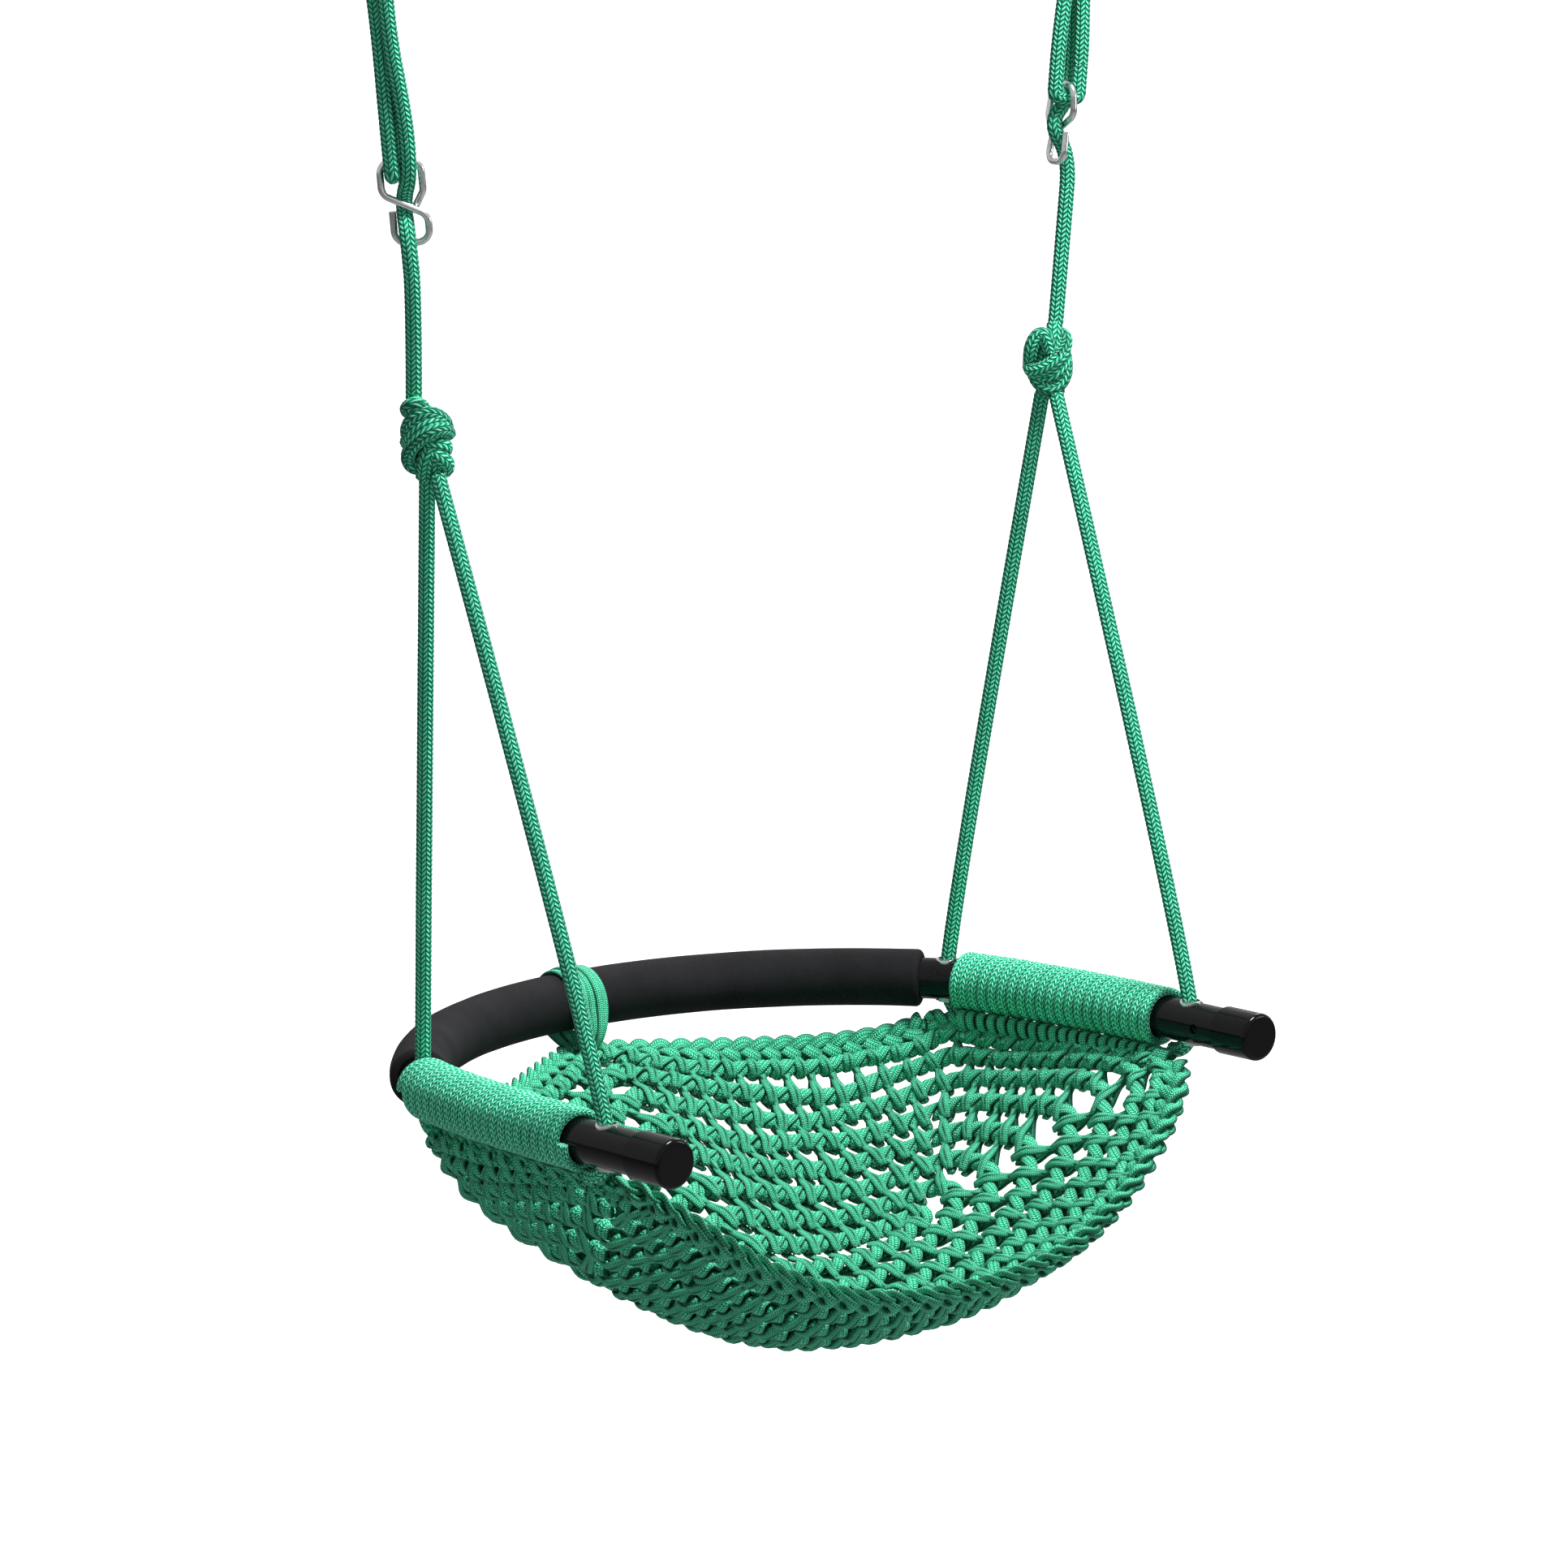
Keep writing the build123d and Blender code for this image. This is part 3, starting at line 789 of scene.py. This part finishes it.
def make_lacing(side, material):
    """The cord that laces the net's edge under the winding, those that run along it, and the front hank."""
    start = distance_at(front_hole_y) + winding_front_gap + lacing_margin
    end = distance_at(rear_hole_y) - winding_rear_gap - lacing_margin
    count = lacing_loops * 24
    angle = np.linspace(0, 2 * math.pi * lacing_loops, count)
    points, tangents = arm_line(np.linspace(start, end, count) + 2.5 * np.sin(angle))
    sideways = np.cross(tangents, upward)
    centre = points - lacing_inset * sideways - lacing_drop * upward
    place = centre + 3.4 * np.cos(angle)[:, None] * sideways + 4.6 * np.sin(angle)[:, None] * upward
    facing = np.cos(angle)[:, None] * sideways + np.sin(angle)[:, None] * upward
    build = Build()
    build.sweep(mirrored(place, side), mirrored(facing, side), 3.1, 1.3)
    points, tangents = arm_line(np.linspace(start - 4, end + 4, 300))
    sideways = np.cross(tangents, upward)
    wave = np.linspace(0, 2 * math.pi * 9, 300)
    for offset, phase in ((-6.0, 0.0), (-8.0, math.pi)):
        line = points + (offset + 2.0 * np.sin(wave + phase))[:, None] * sideways
        line = line - upward * (19.5 + 1.2 * np.cos(wave + phase))[:, None]
        build.sweep(mirrored(line, side), np.tile(upward, (300, 1)), 3.4, 2.0)
    points, tangents = arm_line(distance_at(front_hole_y) + winding_front_gap - 5.0)
    front, tangent = points[0], tangents[0]
    inward = np.cross(upward, tangent)
    for offset in (-3.6, 0.0, 3.6):
        hank = [front + offset * tangent + aside * inward + rise * upward
                for aside, rise in ((13.5, -34.0), (15.5, -27.0), (15.0, -19.0), (9.5, -17.0), (2.0, -19.5))]
        line = mirrored(even(smooth_route(hank), 1.0), side)
        build.sweep(line, carried_normals(line, (-side, 0, 0)), 2.6, 1.5)
    piece = build.object(f"lacing_{side_names[side]}", material)
    finish_soft(piece, "net_cord", f"arm_lacing_{side_names[side]}")


def foam_rings():
    """Centre, tangent and radius of each ring of points of the foam, and how far along the foam it lies."""
    start = distance_at(rear_hole_y) + foam_gap
    travel = np.linspace(start, 2 * tube_half_length - start, foam_steps)
    right = travel <= tube_half_length
    points, tangents = arm_line(np.where(right, travel, 2 * tube_half_length - travel))
    points = np.where(right[:, None], points, points * (-1, 1, 1))
    tangents = np.where(right[:, None], tangents, tangents * (1, -1, 1))
    travel = travel - travel[0]
    total = travel[-1]
    rim = np.linspace(0, 1, 8) * math.pi / 2
    profile = [(0.0, tube_r + soft_gap)]
    profile += [(foam_edge * (1 - math.cos(a)) * 0.8, foam_r - foam_edge * (1 - math.sin(a))) for a in rim]
    places = [p for p, _ in profile] + list(np.linspace(foam_edge, total - foam_edge, foam_steps))
    places = np.array(places + [total - p for p, _ in profile[::-1]])
    radii = [r for _, r in profile] + [foam_r] * foam_steps + [r for _, r in profile[::-1]]
    centre = np.stack([np.interp(places, travel, points[:, i]) for i in range(3)], -1)
    along = unit(np.stack([np.interp(places, travel, tangents[:, i]) for i in range(3)], -1))
    return centre, along, np.array(radii), places / total


def make_foam(material):
    """The foam sleeve: a thick tube with rounded ends and slight dents."""
    angle = np.linspace(0, 2 * math.pi, foam_sides, endpoint=False)
    centre, along, radii, share = foam_rings()
    size = radii[:, None]
    for count, strength in ((5, 0.10), (9, 0.07), (17, 0.05)):
        shift = random.uniform(0, 2 * math.pi, 2)
        lengthwise = np.sin(count * share * 2 * math.pi + shift[0])[:, None]
        size = size + strength * lengthwise * np.sin((count % 4 + 1) * angle + shift[1])[None, :]
    out = np.cos(angle)[None, :, None] * np.cross(along, upward)[:, None, :]
    out = out + np.sin(angle)[None, :, None] * upward
    rings = centre[:, None, :] + size[..., None] * out
    base = np.arange(len(rings))[:, None] * foam_sides
    j = np.arange(foam_sides)
    following = (j + 1) % foam_sides
    quads = np.stack([base[:-1] + j, base[:-1] + following, base[1:] + following, base[1:] + j], -1)
    build = Build()
    build.points.append(rings.reshape(-1, 3))
    build.quads.append(quads.reshape(-1, 4))
    build.quad_uv.append(np.zeros((quads.size // 4, 4, 2)))
    piece = build.object("foam_grip", material)
    finish_soft(piece, "foam", "foam_sleeve")


def make_lashing(material):
    """Turns of flat cord round the middle of the foam that hold up the net's back edge."""
    build = Build()
    radius = foam_r + soft_gap + 1.3
    for turn in range(lashing_turns):
        angle = np.linspace(0, 2 * math.pi, 72, endpoint=False)
        offset = (turn - (lashing_turns - 1) / 2) * lashing_pitch + 1.2 * np.sin(angle + turn)
        points, _ = arm_line(tube_half_length - np.abs(offset))
        points = np.where((offset > 0)[:, None], points * (-1, 1, 1), points)
        out = np.stack([0 * angle, np.cos(angle), np.sin(angle)], -1)
        layer = 1.1 * (turn % 2)
        low = np.maximum(np.cos(angle - lashing_angle), 0) ** 5
        place = points + (radius + layer + lashing_reach * low)[:, None] * out
        place[:, 0] *= 1 - 0.55 * low
        build.sweep(place, out, 2.8, 1.25, sides=12, closed=True)
    piece = build.object("lashing", material)
    finish_soft(piece, "net_cord", "back_lashing")


# ---------------------------------------------------------------- ropes

def adjuster_axes(side):
    """Origin and axes of the wire figure: across, up the rope, out of it."""
    z = adjuster_z[side]
    up = unit((side * rope_lean, 0, 1.0))
    angle = math.radians(adjuster_facing[side])
    across = np.array([math.cos(angle), math.sin(angle), 0])
    normal = unit(np.cross(across, up))
    origin = np.array([side * (knot_x + rope_lean * (z - knot_z) - adjuster_inset[side]), 0, z])
    return origin, np.cross(up, normal), up, normal


def adjuster_local(side, points):
    """Points given as across, up and out of the wire figure."""
    origin, across, up, normal = adjuster_axes(side)
    return [origin + x * across + y * up + z * normal for x, y, z in points]


def over_the_ring(side):
    """Control points of the working rope and the tail, each from the adjuster over the ring."""
    seat_r = ring_wire / 2 + rope_r + ring_slack
    ring_x = side * (knot_x + rope_lean * (ring_wire_z - knot_z))
    gather_x = ring_x - side * rope_lean * gather_drop
    gather = [(gather_x + gx * rope_d, gy * rope_d, ring_wire_z - gather_drop) for gx, gy in gathered[side]]
    starts = adjuster_local(side, [weave_top, bight_front, bight_back])
    up = adjuster_axes(side)[2]
    leads = [p + up * lead_in for p in starts]
    apart = rope_r + ring_strand_gap / 2
    top = ring_wire_z + seat_r
    pair_x, tail_x = ring_x + side * apart, ring_x - side * apart
    front, back = (pair_x, side * seat_r, top), (pair_x, -side * seat_r, top)
    over = [starts[0], leads[0], gather[0], front, back, gather[1], leads[1], starts[1]]
    front, back = (tail_x, -side * seat_r, top), (tail_x, side * seat_r, top)
    end = (tail_x - side * tail_aside, side * (seat_r + tail_behind), ring_wire_z - tail_drop)
    return over, [starts[2], leads[2], gather[2], front, back, end]


def routes(side):
    """Control points of every rope above one side's knot, in millimetres."""
    weave = adjuster_local(side, [weave_bottom, (0.5, -18.0, weave_out), (-1.5, 0.5, -weave_out - 0.6),
                                  (strand_apart, 17.0, weave_out), weave_top])
    x, top, z = bight_front
    low = bight_turn - z
    bight = adjuster_local(side, [(x, top, z), (x, bight_turn, z), (x, low, z), (x, low, -z),
                                  (x, bight_turn, -z), (x, top, -z)])
    below = adjuster_local(side, [(0.5, -adjuster_reach - lead_in, weave_out), weave_bottom])
    aside, behind = knot_entry[side]
    lower = [(side * knot_x + aside, behind, knot_z + knot_height / 2 + knot_clear), *below]
    over, tail = over_the_ring(side)
    return {"weave": weave, "bight": bight, "lower": lower, "over_ring": over, "tail": tail}


def leg_route(side, end):
    """Control points of a leg, from the knot through its eyelets and along under the arm."""
    if end == "front":
        y, toward, turn_z = front_hole_y, 1, -(tube_r + rope_r + front_turn_gap)
    else:
        y, toward, turn_z = rear_hole_y, -1, -(winding_r + rope_r + rear_turn_gap)
    distance = distance_at(y)
    run = winding_front_gap - soft_gap
    x = arm_line(distance)[0][0, 0]
    finish = arm_line(distance + toward * run)[0][0]
    bend = np.array([side * x, y, leg_bend_z])
    centre = np.array([side * knot_x, 0, knot_z])
    start = centre + unit(bend - centre) * (knot_height / 2 + leg_clear)
    return [start, bend, (side * x, y, turn_z), (side * finish[0], finish[1], turn_z)]


def rope_piece(name, control, material):
    """A braided rope along a route; returns the piece and the line that it follows."""
    line = even(smooth_route(control), 0.72)
    normals = np.tile(toward_camera, (len(line), 1))
    build = Build()
    build.sweep(line, normals, rope_half_width, rope_half_thick, sides=40, square=1.0, columns=rope_columns,
                pitch=rope_pitch, relief=0.35)
    return build.object(name, material), row_frame(line)


def declare_rope(nodes):
    """Hides the frame's rope parts that a swept piece replaces."""
    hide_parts(*nodes)


# Bands of the tied rope as seen from the front: across, up and towards the viewer from its middle
knot_bands = {
    -1: (
        ((-12, 15, -5), (-13, 18, 3), (-8, 21, 7), (-3.5, 19.5, 4.5), (-3, 16, -4)),
        ((-12, 1, -4), (-13, 5, 2), (-9, 12, 7), (-1, 15.5, 8), (7, 14, 6), (12.5, 8, 1), (11, 3, -5)),
        ((-13, -3, -2), (-11, 2, 6), (-4, 8, 9), (4, 11, 8), (11, 10, 3)),
        ((-5, -17, -5), (-10, -16, 1), (-13, -10, 3), (-10.5, -4, 8), (-3, 2.5, 10.5), (5, 6, 10.5),
         (12, 6, 5), (13, 2, -3)),
        ((0, -2, 7), (8, -2, 7), (13, -6, 1), (9, -9, -6)),
        ((3, -7, 6.5), (9, -10, 6.5), (13, -15, 1), (10.5, -20, -1), (5, -18, -5)),
        ((-2.6, -22, 1), (-2.4, -15, 5), (0, -8, 7.5), (3, -2, 6)),
        ((5, -21, 0), (4, -14, 3), (5, -8, 4)),
        ((-8, 21, 0), (-5, 12, 0), (0, 0, -2), (0, -14, -2)),
    ),
    1: (
        ((4.6, 22, 0), (4.4, 15, 3.5), (3, 8, 4), (0, 2, -2), (0, -10, -2)),
        ((-12, -3, 0), (-12.5, 3, 4), (-11, 11, 5.5), (-5.5, 17, 5.5), (-0.5, 14, 7), (1.5, 5, 7)),
        ((2, 12, -6), (8, 16, -2), (12.5, 14, 2.5), (12, 8, 6), (6, 3, 9)),
        ((-9, -3, -5), (-14, -2, 0), (-12.5, -6.5, 5), (-5, -5, 9.5), (3, -1, 10.5), (8.5, 4, 9), (12, 9, 3),
         (9, 12, -4)),
        ((-10, -4, -2), (-9.5, -10, 3), (-4, -15.5, 6), (3, -17, 6.5), (9.5, -13, 5), (12.5, -5, 3),
         (11, 3, 0)),
        ((-8, -8, 4), (0, -10, 8), (8, -5, 7.5), (12, 0, 2)),
        ((-3.6, -22, 1), (-2.5, -15, 2), (-1, -9, 2)),
        ((6.5, -21, 1), (4.5, -14, 2), (3, -9, 2)),
    ),
}


band_width = 0.84
band_height = 0.97


def make_knot(side, material):
    """The tied rope, as bands that pass over each other."""
    centre = np.array([side * knot_x, 0, knot_z])
    build = Build()
    for band in knot_bands[side]:
        control = [centre + band_width * x * image_right + band_height * y * upward + z * toward_camera
                   for x, y, z in band]
        line = even(smooth_route(control), 0.8)
        build.sweep(line, carried_normals(line, toward_camera), 4.7, 4.1, sides=32, square=1.0,
                    columns=rope_columns, pitch=rope_pitch, relief=0.35)
    angle = np.linspace(0.12, math.pi - 0.12, 40)
    core = centre + np.stack([0 * angle, 0 * angle, -15 * np.cos(angle)], -1)
    build.sweep(core, np.tile(toward_camera, (40, 1)), 8.0 * np.sin(angle), 6.0 * np.sin(angle), sides=24,
                columns=rope_columns, pitch=rope_pitch)
    piece = build.object(f"tied_knot_{side_names[side]}", material)
    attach(piece, "knots")
    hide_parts(f"knot_{side_names[side]}")
    return piece


def make_tail_knot(side, material):
    """A small stopper knot on the rope's free end."""
    low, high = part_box(f"tail_knot_{side_names[side]}")
    centre = (np.array(low) + np.array(high)) / 2 / MM + (0, 0, hang_height)
    angle = np.linspace(0, 2 * math.pi * 1.75, 90)
    height = np.linspace(3.4, -3.4, 90) + 1.2 * np.sin(2 * angle)
    line = np.stack([4.2 * np.cos(angle), 4.2 * np.sin(angle), height], -1)
    build = Build()
    build.sweep(line + centre, line * (1, 1, 0), 3.7, 3.7, sides=28, square=1.0, columns=rope_columns,
                pitch=rope_pitch, relief=0.35)
    piece = build.object(f"stopper_{side_names[side]}", material)
    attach(piece, "suspension")
    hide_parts(f"tail_knot_{side_names[side]}")
    return piece


def make_ropes(side, material):
    """One side's knots and every rope between them, the seat and the ring."""
    name = side_names[side]
    knot = make_knot(side, material)
    stopper = make_tail_knot(side, material)
    lines = routes(side)
    weave, line = rope_piece(f"weave_{name}", lines["weave"], material)
    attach(weave, "adjusters")
    declare_rope([f"rope_weave_{name}"])
    bight, line = rope_piece(f"bight_{name}", lines["bight"], material)
    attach(bight, "adjusters")
    declare_rope([f"rope_bight_{name}"])
    lower, line = rope_piece(f"lower_{name}", lines["lower"], material)
    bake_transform(lower)
    declare_rope([f"rope_lower_{name}"])
    over, line = rope_piece(f"over_ring_{name}", lines["over_ring"], material)
    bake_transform(over)
    declare_rope([f"rope_over_ring_{name}"])
    tail, line = rope_piece(f"tail_{name}", lines["tail"], material)
    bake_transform(tail)
    declare_rope([f"rope_tail_{name}"])
    for end in ("front", "rear"):
        leg, line = rope_piece(f"leg_{end}_{name}", leg_route(side, end), material)
        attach(leg, "seat")
        declare_rope([f"rope_leg_{end}_{name}"])


# ---------------------------------------------------------------- studio

floor_reach = 40.0
floor_z = -1.35


def area_light(name, place, aim, size, power):
    """A soft round lamp."""
    light = bpy.data.lights.new(name, "AREA")
    light.shape = "DISK"
    light.size = size
    light.energy = power
    holder = bpy.data.objects.new(name, light)
    out = unit(np.array(place, float) - np.array(aim, float))
    right = unit(np.cross(upward, out))
    up = np.cross(out, right)
    holder.matrix_world = placed(right, up, out, place)
    bpy.context.scene.collection.objects.link(holder)


def make_floor():
    """A white floor that stays white to the camera and keeps the object's shadow."""
    mesh = bpy.data.meshes.new("floor")
    corners = [(x * floor_reach, y * floor_reach, floor_z) for x, y in ((-1, -1), (1, -1), (1, 1), (-1, 1))]
    mesh.from_pydata(corners, [], [(0, 1, 2, 3)])
    floor = bpy.data.objects.new("floor", mesh)
    bpy.context.scene.collection.objects.link(floor)
    material, nodes, links, shader = new_material("floor")
    shader.inputs["Base Color"].default_value = (0.3, 0.3, 0.3, 1)
    shader.inputs["Roughness"].default_value = 0.9
    shader.inputs["Emission Color"].default_value = (1, 1, 1, 1)
    path = nodes.new("ShaderNodeLightPath")
    glow = math_node(nodes, links, "MULTIPLY", path.outputs["Is Camera Ray"], 1.2)
    links.new(glow, shader.inputs["Emission Strength"])
    mesh.materials.append(material)


def make_world():
    """A soft white surround that is brighter to the camera and in reflections."""
    world = bpy.data.worlds.new("studio")
    world.use_nodes = True
    bpy.context.scene.world = world
    nodes, links = world.node_tree.nodes, world.node_tree.links
    background = nodes["Background"]
    path = nodes.new("ShaderNodeLightPath")
    background.inputs["Color"].default_value = (1, 1, 1, 1)
    seen = math_node(nodes, links, "MULTIPLY", path.outputs["Is Camera Ray"], 0.72)
    reflected = math_node(nodes, links, "MULTIPLY", path.outputs["Is Glossy Ray"], 0.25)
    strength = math_node(nodes, links, "ADD", seen, reflected)
    strength = math_node(nodes, links, "ADD", strength, 0.33)
    links.new(strength, background.inputs["Strength"])


def light_studio():
    make_world()
    make_floor()
    area_light("key", (0.5, -1.0, 2.0), (0, 0, -0.7), 1.1, 135)
    area_light("side", (2.2, 1.4, 0.7), (0, 0, -0.6), 0.9, 16)
    area_light("fill", (2.0, -2.0, -0.2), (0, 0, -0.7), 0.8, 10)
    bpy.context.scene.view_settings.view_transform = "Standard"


# ---------------------------------------------------------------- carried-over CAD pieces

def dress(material, *names):
    """Puts a material on pieces carried over from the frame."""
    for name in names:
        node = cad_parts[name]
        node.data.materials.clear()
        node.data.materials.append(material)


def dress_hardware():
    paint = gloss_material("tube_paint", (0.003, 0.003, 0.0035), 0.08, 0.00004)
    pvc = gloss_material("cap_pvc", (0.001, 0.001, 0.0012), 0.06, 0.00006)
    plate = metal_material("eyelet_plate", (0.78, 0.78, 0.77), 0.16, 900.0)
    wire = metal_material("adjuster_wire", (0.84, 0.85, 0.86), 0.12, 1600.0)
    steel = metal_material("ring_steel", (0.6, 0.6, 0.61), 0.26, 1200.0)
    dress(paint, "frame_tube")
    dress(pvc, "end_cap_left", "end_cap_right")
    dress(plate, *[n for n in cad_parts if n.startswith("eyelet")])
    dress(wire, "adjuster_left", "adjuster_right")
    dress(steel, "ring_left", "ring_right")


make_camera()
rope = rope_material("braided_rope", rope_columns, 0.55, 1.04)
# The windings are lighter copies of the rope colour, painted brighter for the light on the arms' tops; the
# right one also paints shade into the grooves between its turns.
wound = {
    -1: rope_material("wound_rope_left", winding_columns, 0.12, 1.32),
    1: rope_material("wound_rope_right", winding_columns, 0.5, 1.46),
}
for side in side_names:
    make_ropes(side, rope)
net = net_material()
make_net(net)
for side in side_names:
    make_winding(side, wound[side])
    make_lacing(side, net)
make_foam(foam_material())
make_lashing(net)
dress_hardware()
light_studio()
